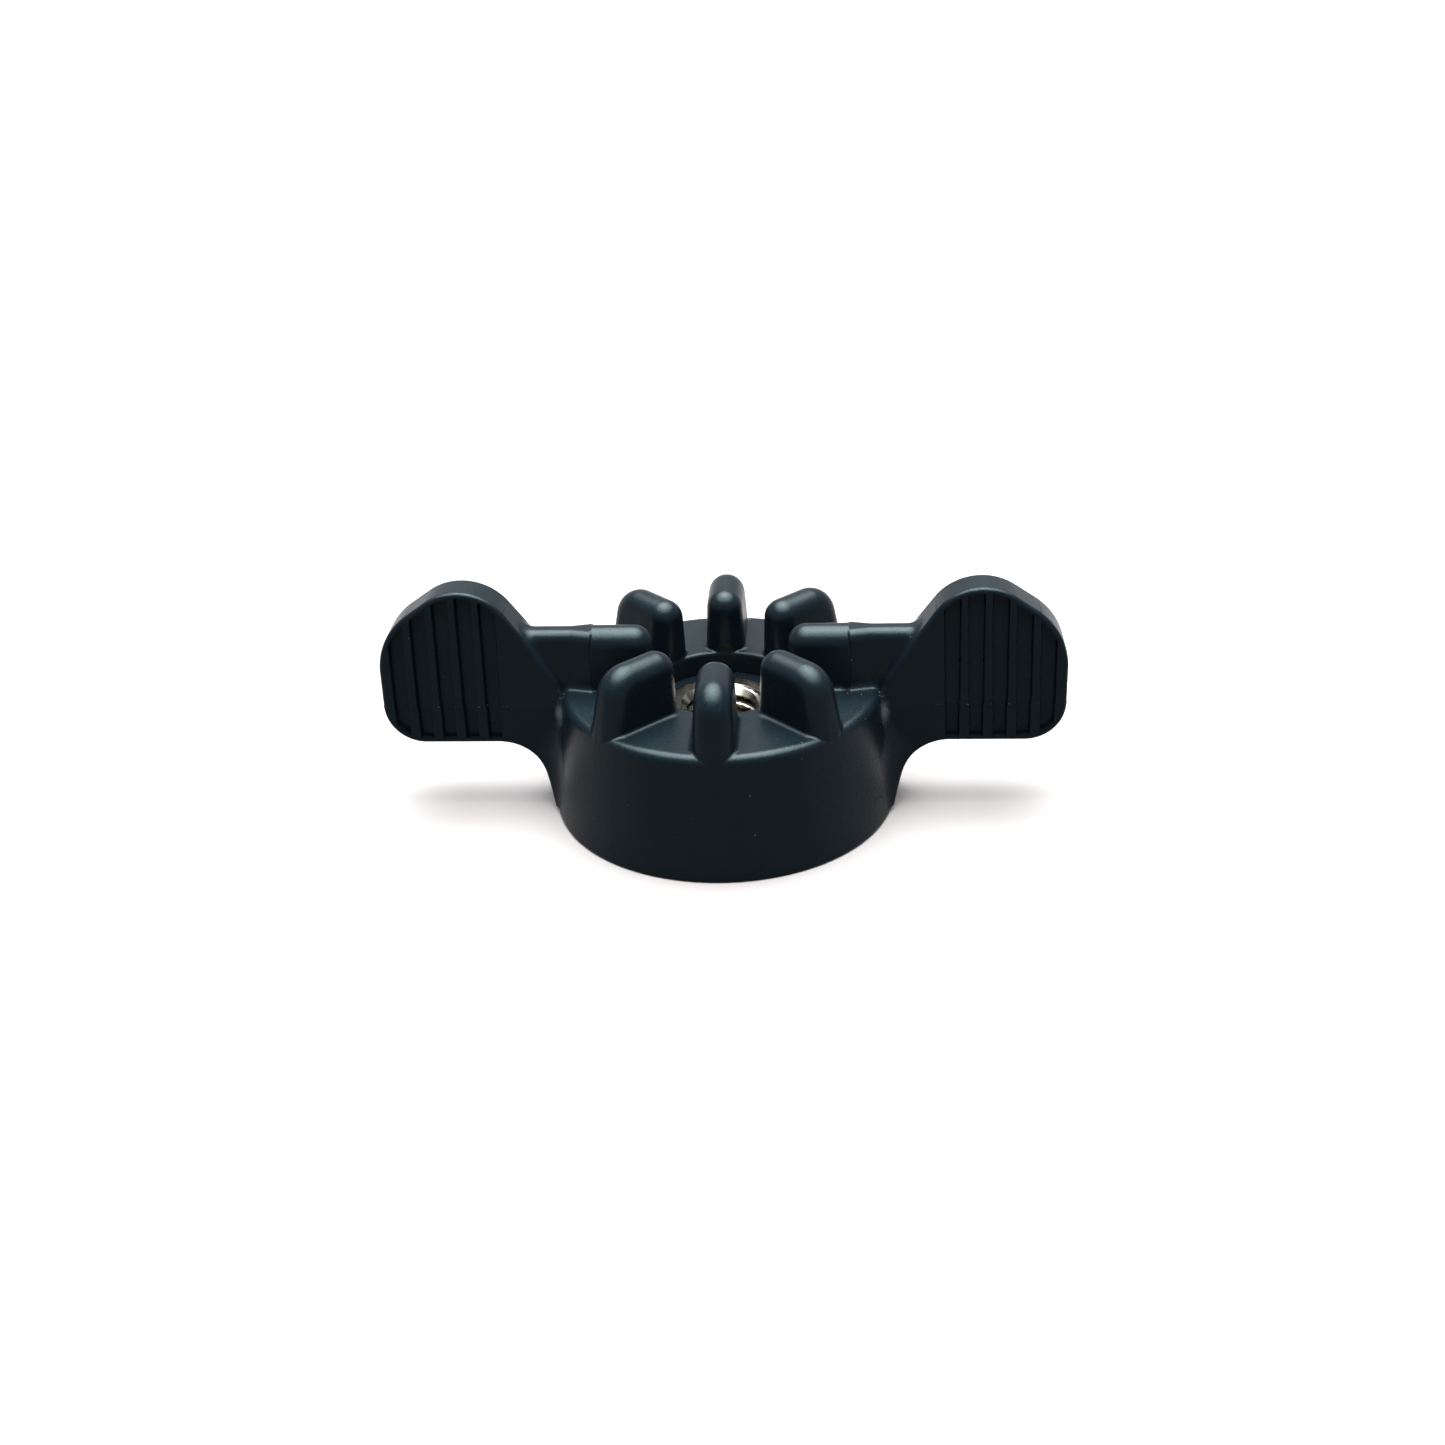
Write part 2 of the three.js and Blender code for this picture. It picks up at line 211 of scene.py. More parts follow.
@dataclass
class Hub:
    """The round hub: a drafted drum with a well in its top and cored pockets in its underside."""

    foot_radius: float = 17.0
    taper: float = 1.4
    height: float = 12.6
    rim_round: float = 0.8
    foot_round: float = 0.35
    well_radius: float = 6.6
    well_floor: float = 10.3
    well_edge: float = 0.35
    well_edge_from: Pair = (11.0, 11.6)
    well_edge_to: Pair = (13.4, 12.9)
    bore_edge: float = 0.05
    seat_radius: float = 5.6
    core_inner: float = 8.3
    core_outer: float = 13.9
    core_roof: float = 9.6
    core_draft: float = 0.35
    core_round: float = 0.5
    core_edge: float = 0.3
    spoke_width: float = 2.8
    spoke_draft: float = 0.3

    def wall(self, radius: Array, z: Array) -> Array:
        """Distance from the drafted side wall, whose radius falls evenly with height."""
        draft = math.cos(math.atan2(self.taper, self.height))
        return (radius - (self.foot_radius - self.taper * z / self.height)) * draft

    def drum(self, radius: Array, z: Array) -> Array:
        """Distance from the drum before it is hollowed, with its rim and foot rounded."""
        drum = rounded(self.wall(radius, z), z - self.height, self.rim_round)
        return rounded(drum, -z, self.foot_round)

    def pockets(self, x: Array, y: Array, z: Array) -> Array:
        """Distance from the cored pockets: a drafted ring cut by a spoke under each rib.

        Args:
            x: Along the wings, in mm.
            y: Across them, in mm.
            z: Height, in mm.

        Returns:
            Distance from the nearest pocket, in mm.
        """
        radius = np.hypot(x, y)
        turn = np.arctan2(y, x) / RIB_TURN
        across = np.abs(radius * np.sin((turn - np.round(turn)) * RIB_TURN))
        rise = z / self.core_roof
        inner = self.core_inner + self.core_draft * rise - radius
        outer = radius - (self.core_outer - (self.core_draft + self.taper) * rise)
        ring = rounded(inner, outer, self.core_round)
        spoke = self.spoke_width / 2 + self.spoke_draft * rise - across
        sector = rounded(ring, spoke, self.core_round)
        return rounded(sector, z - self.core_roof, self.core_round)

    def bore(self, radius: Array, z: Array) -> Array:
        """Distance from the well and the insert's seat below it."""
        well = np.maximum(radius - self.well_radius, self.well_floor - z)
        return np.minimum(radius - self.seat_radius, well)

    def edge(self, z: Array) -> Array:
        """Radius of the edge along the well's mouth, which is crisp elsewhere on the bore."""
        above = self.well_edge * ramp(z, *self.well_edge_from)
        return self.bore_edge + above * ramp(z, *self.well_edge_to)


@dataclass
class Ribs:
    """The ribs that stand on the hub like spokes, full round along crests and at both ends."""

    root_z: float = 12.6
    crest_z: float = 18.65
    nose: float = 6.6
    nose_round: float = 1.8
    end: float = 15.6
    end_draft: float = 12.0
    shoulder_round: float = 3.1
    short_end: float = 12.7
    short_round: float = 0.3
    root_half: float = 2.0
    crest_half: float = 1.7
    edge_round: float = 1.68
    fillet: float = 0.5
    least_fillet: float = 0.02
    fillet_from_wall: Pair = (0.1, 1.3)
    fillet_from_well: float = 8.0
    fillet_below: Pair = (14.0, 12.8)
    fillet_before_end: Pair = (0.4, 1.0)
    sunk: float = 8.5
    wall_lean: float = 6.34
    long_outline: Outline = field(init=False)
    short_outline: Outline = field(init=False)

    def __post_init__(self) -> None:
        """Draws the side outlines of the long ribs and of the short ones in line with the wings."""
        lean = math.radians(self.end_draft)
        centre_z = self.crest_z - self.shoulder_round
        setback = (centre_z - self.root_z) * math.tan(lean)
        centre_u = self.end - setback - self.shoulder_round / math.cos(lean)
        nose_u, nose_z = self.nose + self.nose_round, self.crest_z - self.nose_round
        nose = [Arc(nose_u, nose_z, self.nose_round, 90, 180), Arc(self.nose, self.sunk)]
        depth = self.root_z - self.sunk
        self.long_outline = Outline(
            [
                Arc(self.end + depth * math.tan(math.radians(self.wall_lean)), self.sunk),
                Arc(self.end, self.root_z),
                Arc(centre_u, centre_z, self.shoulder_round, self.end_draft, 90),
                *nose,
            ]
        )
        self.short_outline = Outline(
            [Arc(self.end, self.sunk), Arc(self.end, self.crest_z), *nose]
        )

    def rib(self, outline: Outline, u: Array, v: Array, z: Array) -> Array:
        """Distance from one rib: its side outline given a drafted width, with round edges.

        Args:
            outline: The rib's side outline.
            u: Distance along the rib from the hub's axis, in mm.
            v: Distance across the rib, in mm.
            z: Height, in mm.

        Returns:
            Distance from the rib, in mm.
        """
        share = (z - self.root_z) / (self.crest_z - self.root_z)
        half = self.root_half + (self.crest_half - self.root_half) * share
        return rounded(outline.distance(u, z), np.abs(v) - half, self.edge_round)

    def short_rib(self, x: Array, y: Array, z: Array) -> Array:
        """Distance from a rib in line with a wing, cut off plumb where the thin web goes on."""
        whole = self.rib(self.short_outline, x, y, z)
        return rounded(whole, x - self.short_end, self.short_round)

    def long_ribs(self, x: Array, y: Array, z: Array) -> Array:
        """Distance from the ribs across the wings and the diagonal ones, by symmetry.

        Args:
            x: Along the wings, in mm.
            y: Across them, in mm.
            z: Height, in mm.

        Returns:
            Distance from the nearest of them, in mm.
        """
        u, v = (x + y) * math.sqrt(0.5), (y - x) * math.sqrt(0.5)
        across = self.rib(self.long_outline, y, x, z)
        diagonal = self.rib(self.long_outline, u, v, z)
        return np.minimum(across, diagonal)


@dataclass
class Wings:
    """The two wings: grooved plates drafted from their parting line, each on a thin web."""

    tip: float = 33.41
    top: float = 23.03
    underside: float = 7.05
    inner_u: float = 10.0
    crown_setback: float = 8.26
    crown_radius: float = 5.5
    shoulder_radius: float = 7.3
    shoulder_drop: float = 8.35
    corner_radius: float = 3.9
    gusset_u: float = 22.3
    gusset_radius: float = 4.8
    toe_z: float = 0.6
    toe_angle: float = 75.0
    notch_u: float = 19.1
    notch_z: float = 18.5
    foot_u: float = 15.4
    foot_z: float = 12.2
    parting_z: float = 11.05
    parting_half: float = 2.37
    top_half: float = 1.8
    under_half: float = 2.25
    edge_round: float = 0.38
    edge_span: Pair = (0.0, 1.0)
    fillet_top: float = 0.5
    fillet_low: float = 2.8
    fillet_span: Pair = (10.0, 6.0)
    web_root_z: float = 12.6
    web_top: float = 18.52
    web_low: float = 8.0
    web_root_half: float = 1.6
    web_crest_half: float = 1.25
    web_round: float = 1.0
    web_start: float = 9.0
    web_end: float = 21.2
    web_fillet_low: float = 0.5
    web_fillet_high: float = 0.8
    web_fillet_span: Pair = (12.6, 13.6)
    web_flare: float = 0.42
    web_flare_span: Pair = (14.6, 12.7)
    web_flare_rise: Pair = (12.1, 12.6)
    groove_count: int = 5
    groove_pitch: float = 2.28
    groove_first: float = 22.525
    groove_low_z: float = 7.45
    groove_lean: float = 0.019
    groove_width: float = 1.45
    groove_flare: float = 0.0145
    groove_step: float = 0.12
    groove_depth: float = 0.7
    groove_draft: float = 0.16
    groove_margin: float = 0.5
    groove_round: float = 0.0
    flash_width: float = 0.2
    flash_height: float = 0.04
    flash_bend: float = 21.0
    flash_slope: float = 0.88
    flash_end: float = 18.9
    bead_low: float = 8.9
    bead_high: float = 12.0
    bead_radius: float = 0.3
    bead_swell: float = 0.22
    bead_reach: float = 0.8
    bead_z: float = 10.1
    bead_end_round: float = 0.3
    bead_fillet: float = 0.3
    plate: Outline = field(init=False)

    def __post_init__(self) -> None:
        """Draws a wing's outline: toe, gusset, lower corner, shoulder, crown and inner slope."""
        crown = np.array([self.tip - self.crown_setback, self.top - self.crown_radius])
        shoulder = np.array([self.tip - self.shoulder_radius, self.top - self.shoulder_drop])
        between = crown - shoulder
        turn = math.degrees(math.atan2(between[1], between[0])) - math.degrees(
            math.acos((self.shoulder_radius - self.crown_radius) / np.hypot(*between))
        )
        to_notch = np.array([self.notch_u, self.notch_z]) - crown
        flank = math.degrees(math.atan2(to_notch[1], to_notch[0])) - math.degrees(
            math.acos(self.crown_radius / np.hypot(*to_notch))
        )
        corner_u = self.tip - self.corner_radius
        gusset_z = self.underside - self.gusset_radius
        toe = 90 + self.toe_angle
        toe_drop = gusset_z + self.gusset_radius * math.sin(math.radians(toe)) - self.toe_z
        toe_u = (
            self.gusset_u
            + self.gusset_radius * math.cos(math.radians(toe))
            - toe_drop / math.tan(math.radians(self.toe_angle))
        )
        self.plate = Outline(
            [
                Arc(self.inner_u, self.toe_z),
                Arc(toe_u, self.toe_z),
                Arc(self.gusset_u, gusset_z, self.gusset_radius, toe, 90),
                Arc(corner_u, self.underside + self.corner_radius, self.corner_radius, -90, 0),
                Arc(shoulder[0], shoulder[1], self.shoulder_radius, 0, turn),
                Arc(crown[0], crown[1], self.crown_radius, turn, flank),
                Arc(self.notch_u, self.notch_z),
                Arc(self.foot_u, self.foot_z),
                Arc(self.inner_u, self.foot_z),
            ]
        )

    def half(self, z: Array) -> Array:
        """Half the plate's thickness at a height, greatest at the parting line.

        Args:
            z: Height, in mm.

        Returns:
            Half the thickness, in mm.
        """
        above = (z - self.parting_z) / (self.top - self.parting_z)
        below = (self.parting_z - z) / (self.parting_z - self.underside)
        upper = self.parting_half + (self.top_half - self.parting_half) * above
        lower = self.parting_half + (self.under_half - self.parting_half) * np.minimum(below, 1)
        return np.where(z > self.parting_z, upper, lower)

    def grooves(self, x: Array, y: Array, z: Array, edge: Array) -> Array:
        """Distance from the grip grooves: drafted slots, closed at the foot and along the crown.

        Below the parting line they are a step narrower. A radius of 0 keeps their edges crisp.

        Args:
            x: Out from the middle, in mm.
            y: Out from the plate's middle, in mm.
            z: Height, in mm.
            edge: Distance from the plate's outline, in mm.

        Returns:
            Distance from the nearest groove, in mm.
        """
        rise = z - self.groove_low_z
        along = x - (self.groove_first - self.groove_lean * rise)
        index = np.clip(np.round(along / self.groove_pitch), 0, self.groove_count - 1)
        width = self.groove_width + self.groove_flare * rise
        width = width - self.groove_step * (z < self.parting_z)
        inward = np.maximum(self.half(z) - y, 0)
        slot = np.abs(along - index * self.groove_pitch) - width / 2 + self.groove_draft * inward
        below = np.maximum(x - (self.tip - self.corner_radius), z - self.parting_z)
        reach = np.maximum(np.minimum(edge + self.groove_margin, below), self.groove_low_z - z)
        depth = self.half(z) - self.groove_depth - y
        return np.maximum(np.maximum(slot, reach), depth)

    def flash(self, x: Array, y: Array, z: Array, edge: Array) -> Array:
        """Distance from the fine raised line that the mould's joint leaves on the plate.

        The line runs level along the parting height, bends down in a straight slope near the
        hub and stands a hair proud of the face: the greater of its width and its height.

        Args:
            x: Out from the middle, in mm.
            y: Out from the plate's middle, in mm.
            z: Height, in mm.
            edge: Distance from the plate's outline, in mm.

        Returns:
            Distance from the line's solid, in mm.
        """
        dip = self.flash_slope * np.maximum(self.flash_bend - x, 0)
        across = np.abs(z - self.parting_z + dip) - self.flash_width / 2
        proud = rounded(y - self.half(z), edge, self.edge_round) - self.flash_height
        return np.maximum(np.maximum(across, proud), self.flash_end - x)

    def bead(self, y: Array, z: Array, drum: Array) -> Array:
        """Distance from the bead in the corner of plate and drum: a rod with a swelling low down.

        Args:
            y: Out from the plate's middle, in mm.
            z: Height, in mm.
            drum: Distance from the hub's drum, in mm.

        Returns:
            Distance from the bead, in mm.
        """
        swelling = np.exp(-(((z - self.bead_z) / self.bead_reach) ** 2))
        radius = self.bead_radius + self.bead_swell * swelling
        rod = np.hypot(drum, y - self.half(z)) - radius
        lower = rounded(rod, self.bead_low - z, self.bead_end_round)
        return np.maximum(lower, z - self.bead_high)

    def wing(self, x: Array, y: Array, z: Array, drum: Array) -> Array:
        """Distance from the drum and one wing with its grooves and web.

        The plate's faces sweep into the drum's wall in a fillet that grows downwards, and the
        whole is then cut to the plate's outline outside the drum.

        Args:
            x: Out from the middle, in mm.
            y: Out from the plate's middle, in mm.
            z: Height, in mm.
            drum: Distance from the hub's drum, in mm.

        Returns:
            Distance from the drum and the wing, in mm.
        """
        edge = self.plate.distance(x, z)
        sweep = self.fillet_top + (self.fillet_low - self.fillet_top) * ramp(z, *self.fillet_span)
        faces = filleted(y - self.half(z), drum, sweep)
        faces = filleted(faces, self.bead(y, z, drum), self.bead_fillet)
        edge_round = self.edge_round * ramp(drum, *self.edge_span)
        plate = rounded(faces, np.minimum(edge, drum), edge_round)
        plate = np.minimum(plate, self.flash(x, y, z, edge))
        plate = rounded(plate, -self.grooves(x, y, z, edge), self.groove_round)
        return filleted(plate, self.web(x, y, z), self.web_fillet(z))

    def web(self, x: Array, y: Array, z: Array) -> Array:
        """Distance from the web between hub and plate, drafted and a little wider at the short rib.

        It reaches down into the drum and out into the plate, and ends short of the first groove.

        Args:
            x: Out from the middle, in mm.
            y: Out from the plate's middle, in mm.
            z: Height, in mm.

        Returns:
            Distance from the web, in mm.
        """
        share = (z - self.web_root_z) / (self.web_top - self.web_root_z)
        web_half = self.web_root_half + (self.web_crest_half - self.web_root_half) * share
        flared = ramp(x, *self.web_flare_span) * ramp(x, *self.web_flare_rise)
        web_half = web_half + self.web_flare * flared
        web = rounded(z - self.web_top, y - web_half, self.web_round)
        web = np.maximum(np.maximum(web, x - self.web_end), self.web_low - z)
        return np.maximum(web, self.web_start - x)

    def web_fillet(self, z: Array) -> Array:
        """Radius of the fillet where the web joins plate and drum, wider above the drum."""
        widening = self.web_fillet_high - self.web_fillet_low
        return self.web_fillet_low + widening * ramp(z, *self.web_fillet_span)


@dataclass
class MouldedBody:
    """The one-piece moulding: hub, ribs, webs and wings."""

    PAIRS: ClassVar[list[tuple[int, int]]] = [(0, 0), (0, 1), (0, 2), (1, 1), (1, 2), (2, 2)]
    STIFFNESS: ClassVar[float] = 0.03
    SLAB: ClassVar[int] = 16
    GRID_DROP: ClassVar[float] = 1.63

    hub: Hub = field(default_factory=Hub)
    ribs: Ribs = field(default_factory=Ribs)
    wings: Wings = field(default_factory=Wings)
    pitch: float = 0.15
    most_triangles: int = 197_000
    most_share: float = 0.98
    crossing_reach: float = 0.008
    smooth_reach: float = 0.03
    inner_reach: float = 0.01
    corner_reach: float = 0.07
    corner_turn: float = 28.0
    curve_turn: float = 9.0

    def distance(self, x: Array, y: Array, z: Array) -> Array:
        """Distance of points from the whole moulding, negative inside.

        The parts are joined with fillets, the joins fade out where two faces run flush, and the
        pockets, the well and the insert's seat are cut out at the end.

        Args:
            x: Along the wings, in mm.
            y: Across them, in mm.
            z: Height, in mm.

        Returns:
            The distances in mm.
        """
        hub, ribs = self.hub, self.ribs
        x, y = np.abs(x), np.abs(y)
        radius = np.hypot(x, y)
        body = self.wings.wing(x, y, z, hub.drum(radius, z))
        inside = ramp(-hub.wall(radius, z), *ribs.fillet_from_wall)
        inside = inside * ramp(radius, hub.well_radius, ribs.fillet_from_well)
        low = ramp(z, *ribs.fillet_below)
        beside = ramp(x, *(ribs.short_end - gap for gap in ribs.fillet_before_end))
        join = ribs.least_fillet + ribs.fillet * inside * low * beside
        body = filleted(body, ribs.short_rib(x, y, z), join)
        join = ribs.least_fillet + ribs.fillet * inside
        body = filleted(body, ribs.long_ribs(x, y, z), join)
        body = rounded(body, -hub.pockets(x, y, z), hub.core_edge)
        return rounded(body, -self.hub.bore(radius, z), self.hub.edge(z))

    def slope(self, points: Array, reach: float) -> Array:
        """Outward direction at points: the even differences of the distance along each axis.

        Args:
            points: The points, one row each, in mm.
            reach: How far to each side the distance is taken, in mm.

        Returns:
            The directions, of length about 1, one row each.
        """
        parts = []
        for axis in range(3):
            shift = np.zeros(3)
            shift[axis] = reach
            ahead = self.distance(*(points + shift).T)
            behind = self.distance(*(points - shift).T)
            parts.append((ahead - behind) / (2 * reach))
        return np.stack(parts, axis=1)

    def sampled(self) -> tuple[Array, Array]:
        """The distances on a grid over the whole body, worked out on a quarter and mirrored.

        The grid starts part of a cell below the ground, so no flat face lies on its levels.

        Returns:
            The grid of distances, and its lowest corner in mm.
        """
        reach = np.array([self.wings.tip, self.hub.foot_radius, self.wings.top]) + 2 * self.pitch
        count = np.ceil(reach / self.pitch).astype(int)
        x = self.pitch * np.arange(count[0] + 1)
        y = self.pitch * np.arange(count[1] + 1)
        z = self.pitch * np.arange(count[2] + 3) - self.GRID_DROP * self.pitch
        quarter = np.empty((len(x), len(y), len(z)), np.float32)
        for i in range(0, len(x), self.SLAB):
            slab = slice(i, i + self.SLAB)
            quarter[slab] = self.distance(x[slab, None, None], y[None, :, None], z[None, None, :])
        half = np.concatenate([quarter[:, :0:-1], quarter], axis=1)
        whole = np.concatenate([half[:0:-1], half], axis=0)
        return whole, np.array([-x[-1], -y[-1], z[0]])

    def skin(self) -> tuple[Array, Array]:
        """The surface as points and four-sided faces.

        Each grid cell that the surface passes through gets one point: the one that lies nearest
        to all the planes that touch the surface where it crosses the cell's edges, so edges stay
        crisp. Each grid edge that it crosses gets the face of the four points round it, turned to
        face outwards. The planes are summed up for each cell: six products of their directions,
        three pulls along the axes, three coordinates of the crossings and their number.

        Returns:
            Points in mm, and the faces' point numbers.
        """
        values, low = self.sampled()
        solid = values < 0
        held = np.zeros(tuple(n - 1 for n in values.shape), np.int8)
        for corner in np.ndindex(2, 2, 2):
            held += solid[tuple(slice(c, c + n) for c, n in zip(corner, held.shape))]
        cells = np.argwhere((held > 0) & (held < 8))
        number = np.full(held.shape, -1, np.int32)
        number[tuple(cells.T)] = np.arange(len(cells))
        sums = np.zeros((13, len(cells)))
        faces = []
        for axis in range(3):
            along = np.eye(3, dtype=int)[axis]
            one, two = np.eye(3, dtype=int)[[(axis + 1) % 3, (axis + 2) % 3]]
            inner = tuple(slice(0, -1) if k == axis else slice(1, -1) for k in range(3))
            beyond = tuple(slice(1, None) if k == axis else slice(1, -1) for k in range(3))
            at = np.argwhere(solid[inner] != solid[beyond]) + one + two
            first, last = values[tuple(at.T)], values[tuple((at + along).T)]
            crossing = low + self.pitch * (at + (first / (first - last))[:, None] * along)
            slope = self.slope(crossing, self.crossing_reach)
            slope /= np.linalg.norm(slope, axis=1)[:, None]
            level = (slope * crossing).sum(axis=1)
            rows = [slope[:, i] * slope[:, j] for i, j in self.PAIRS]
            rows += [slope[:, i] * level for i in range(3)]
            rows += [crossing[:, i] for i in range(3)] + [np.ones(len(at))]
            ring = [number[tuple((at - one - two).T)], number[tuple((at - two).T)]]
            ring += [number[tuple(at.T)], number[tuple((at - one).T)]]
            for cell in ring:
                for k, row in enumerate(rows):
                    sums[k] += np.bincount(cell, row, len(cells))
            ring = np.stack(ring, axis=1)
            faces.append(np.where(solid[tuple(at.T)][:, None], ring, ring[:, ::-1]))
        products, pulls, places, count = sums[:6], sums[6:9], sums[9:12], sums[12]
        mean = (places / count).T
        spread = np.empty((len(cells), 3, 3))
        for product, (i, j) in zip(products, self.PAIRS):
            spread[:, i, j] = spread[:, j, i] = product
        pull = pulls.T - np.einsum("nij,nj->ni", spread, mean)
        spread += self.STIFFNESS * count[:, None, None] * np.eye(3)
        points = mean + np.linalg.solve(spread, pull[:, :, None])[:, :, 0]
        lowest = low + self.pitch * cells
        return np.clip(points, lowest, lowest + self.pitch), np.concatenate(faces)

    def build(self) -> bpy.types.Object:
        """Makes the body's mesh: the skin, thinned to triangles, with the surface's own normals.

        The thinning always takes a little away, because only then does it leave triangles.

        Returns:
            The body's object.
        """
        points, faces = self.skin()
        thing = placed("moulded_body", points, faces)
        thin = thing.modifiers.new("thinned", "DECIMATE")
        thin.ratio = min(self.most_share, self.most_triangles / (2 * len(faces)))
        thin.use_collapse_triangulate = True
        bake(thing)
        smooth(thing)
        thing.data.normals_split_custom_set(self.corner_normals(thing.data).tolist())
        LOG.info("moulded body: %d faces from %d", len(thing.data.polygons), len(faces))
        return thing

    def corner_normals(self, mesh: bpy.types.Mesh) -> Array:
        """The surface's own direction at every corner of every face.

        Where that direction at the corner's point turns far from the face, the point lies on an
        edge, and the direction a little way into the face is taken, so the edge stays crisp.

        Args:
            mesh: The body's mesh of triangles, in metres.

        Returns:
            One unit direction for each corner.
        """
        flat = np.empty(3 * len(mesh.vertices), np.float32)
        mesh.vertices.foreach_get("co", flat)
        points = flat.reshape(-1, 3).astype(float) / MM
        corner = np.empty(len(mesh.loops), np.int32)
        mesh.loops.foreach_get("vertex_index", corner)
        triangle = points[corner].reshape(-1, 3, 3)
        middle = np.repeat(triangle.mean(axis=1), 3, axis=0)
        face = np.cross(triangle[:, 1] - triangle[:, 0], triangle[:, 2] - triangle[:, 0])
        face = np.repeat(face / np.maximum(np.linalg.norm(face, axis=1), TINY)[:, None], 3, axis=0)
        smooth_way = self.slope(points, self.smooth_reach)
        smooth_way = (smooth_way / np.linalg.norm(smooth_way, axis=1)[:, None])[corner]
        on_edge = (smooth_way * face).sum(axis=1) < math.cos(math.radians(self.curve_turn))
        way_in = middle[on_edge] - points[corner[on_edge]]
        gap = np.linalg.norm(way_in, axis=1)[:, None]
        near = points[corner[on_edge]] + way_in * np.minimum(self.corner_reach / gap, 1)
        inner = self.slope(near, self.inner_reach)
        inner /= np.maximum(np.linalg.norm(inner, axis=1), 1e-6)[:, None]
        bad = (inner * face[on_edge]).sum(axis=1) < math.cos(math.radians(self.corner_turn))
        smooth_way[on_edge] = np.where(bad[:, None], face[on_edge], inner)
        return smooth_way


# ---- the threaded insert ----


@dataclass
class ThreadedInsert:
    """The metal sleeve: an M8 thread, chamfered mouths, knurled bands and a waist."""

    height: float = 10.3
    core: float = 5.55
    knurl: float = 6.0
    waist: float = 4.9
    collar: float = 0.8
    waist_height: float = 1.6
    teeth: int = 24
    pitch: float = 1.25
    flank_angle: float = 60.0
    root: float = 4.03
    root_flat: float = 0.09
    crest: float = 3.34
    mouth: float = 4.15
    bevel: float = 0.12
    around: int = 192
    rows: int = 220
    outside_rows: int = 60
    end_rows: int = 8
    crisp_angle: float = 32.0

    def thread(self, turn: Array, z: Array) -> Array:
        """Radius of the bore: a right-handed sixty-degree thread that runs out in both chamfers.

        The radius is a triangle wave of height less turns, cut off flat at crest and root, and
        never less than the chamfer's cone.

        Args:
            turn: Angle round the axis as a share of a turn.
            z: Height in mm.

        Returns:
            The radius in mm.
        """
        phase = z / self.pitch - turn
        wave = np.abs(phase - np.round(phase)) * 2
        depth = 0.5 * self.pitch * math.tan(math.radians(self.flank_angle))
        radius = np.clip(self.root + self.root_flat - wave * depth, self.crest, self.root)
        mouth = self.mouth - np.minimum(z, self.height - z)
        return np.maximum(radius, mouth)

    def outside(self, turn: Array, z: Array) -> Array:
        """Radius of the outside: knurled bands between plain collars and a waist.

        Args:
            turn: Angle round the axis as a share of a turn.
            z: Height in mm.

        Returns:
            The radius in mm.
        """
        band = (self.height - 2 * self.collar - self.waist_height) / 2
        from_end = np.minimum(z, self.height - z)
        wave = np.abs(turn * self.teeth - np.round(turn * self.teeth)) * 2
        tooth = self.knurl - (self.knurl - self.core) * wave
        knurled = (from_end > self.collar) & (from_end < self.collar + band)
        plain = np.where(from_end < self.collar + band, self.core, self.waist)
        return np.where(knurled, tooth, plain)

    def build(self) -> bpy.types.Object:
        """Makes the sleeve as rings carried up the bore, over the top, down the side and back.

        Returns:
            The sleeve's object.
        """
        turn = (np.arange(self.around) / self.around)[None, :]
        up = np.linspace(0, self.height, self.rows)[:, None]
        down = np.linspace(self.height, 0, self.outside_rows)[:, None]
        bore = self.thread(turn, up)
        outer = self.outside(turn, down)
        rim = self.core - self.bevel
        top = np.linspace(bore[-1], rim, self.end_rows)[1:]
        under = np.linspace(rim + 0 * turn[0], bore[0], self.end_rows)[:-1]
        radius = np.concatenate([bore, top, outer, under])
        down = np.clip(down, self.bevel, self.height - self.bevel)
        height = np.concatenate(
            [up + 0 * turn, self.height + 0 * top, down + 0 * turn, 0 * under]
        )
        angle = 2 * math.pi * turn
        points = np.stack([radius * np.cos(angle), radius * np.sin(angle), height], axis=-1)
        thing = placed("insert_sleeve", points.reshape(-1, 3), wrapped(len(radius), self.around))
        smooth(thing)
        thing.data.set_sharp_from_angle(angle=math.radians(self.crisp_angle))
        LOG.info("threaded insert: %d faces", len(thing.data.polygons))
        return thing


# ---- putting meshes into the scene ----


def wrapped(rows: int, around: int) -> Array:
    """Faces of a grid that closes both ways.

    Args:
        rows: How many rings the grid has.
        around: How many points each ring has.

    Returns:
        The point numbers of each face, one row each, in the order that turns it outwards.
    """
    i, j = np.meshgrid(np.arange(rows), np.arange(around), indexing="ij")
    after, beside = (i + 1) % rows, (j + 1) % around
    ring = [i * around + j, after * around + j, after * around + beside, i * around + beside]
    return np.stack(ring, axis=-1).reshape(-1, 4)


def placed(name: str, points: Array, faces: Array) -> bpy.types.Object:
    """A new object at the origin from points in mm and faces of equal size.

    Args:
        name: The piece's name.
        points: Its points in mm.
        faces: Point numbers of its faces, one row each.

    Returns:
        The linked object.
    """
    mesh = bpy.data.meshes.new(name)
    sides = faces.shape[1]
    mesh.vertices.add(len(points))
    mesh.vertices.foreach_set("co", (points * MM).astype(np.float32).ravel())
    mesh.loops.add(faces.size)
    mesh.loops.foreach_set("vertex_index", faces.astype(np.int32).ravel())
    mesh.polygons.add(len(faces))
    mesh.polygons.foreach_set("loop_start", np.arange(0, faces.size, sides, dtype=np.int32))
    mesh.update(calc_edges=True)
    mesh.validate()
    thing = bpy.data.objects.new(name, mesh)
    bpy.context.scene.collection.objects.link(thing)
    return thing


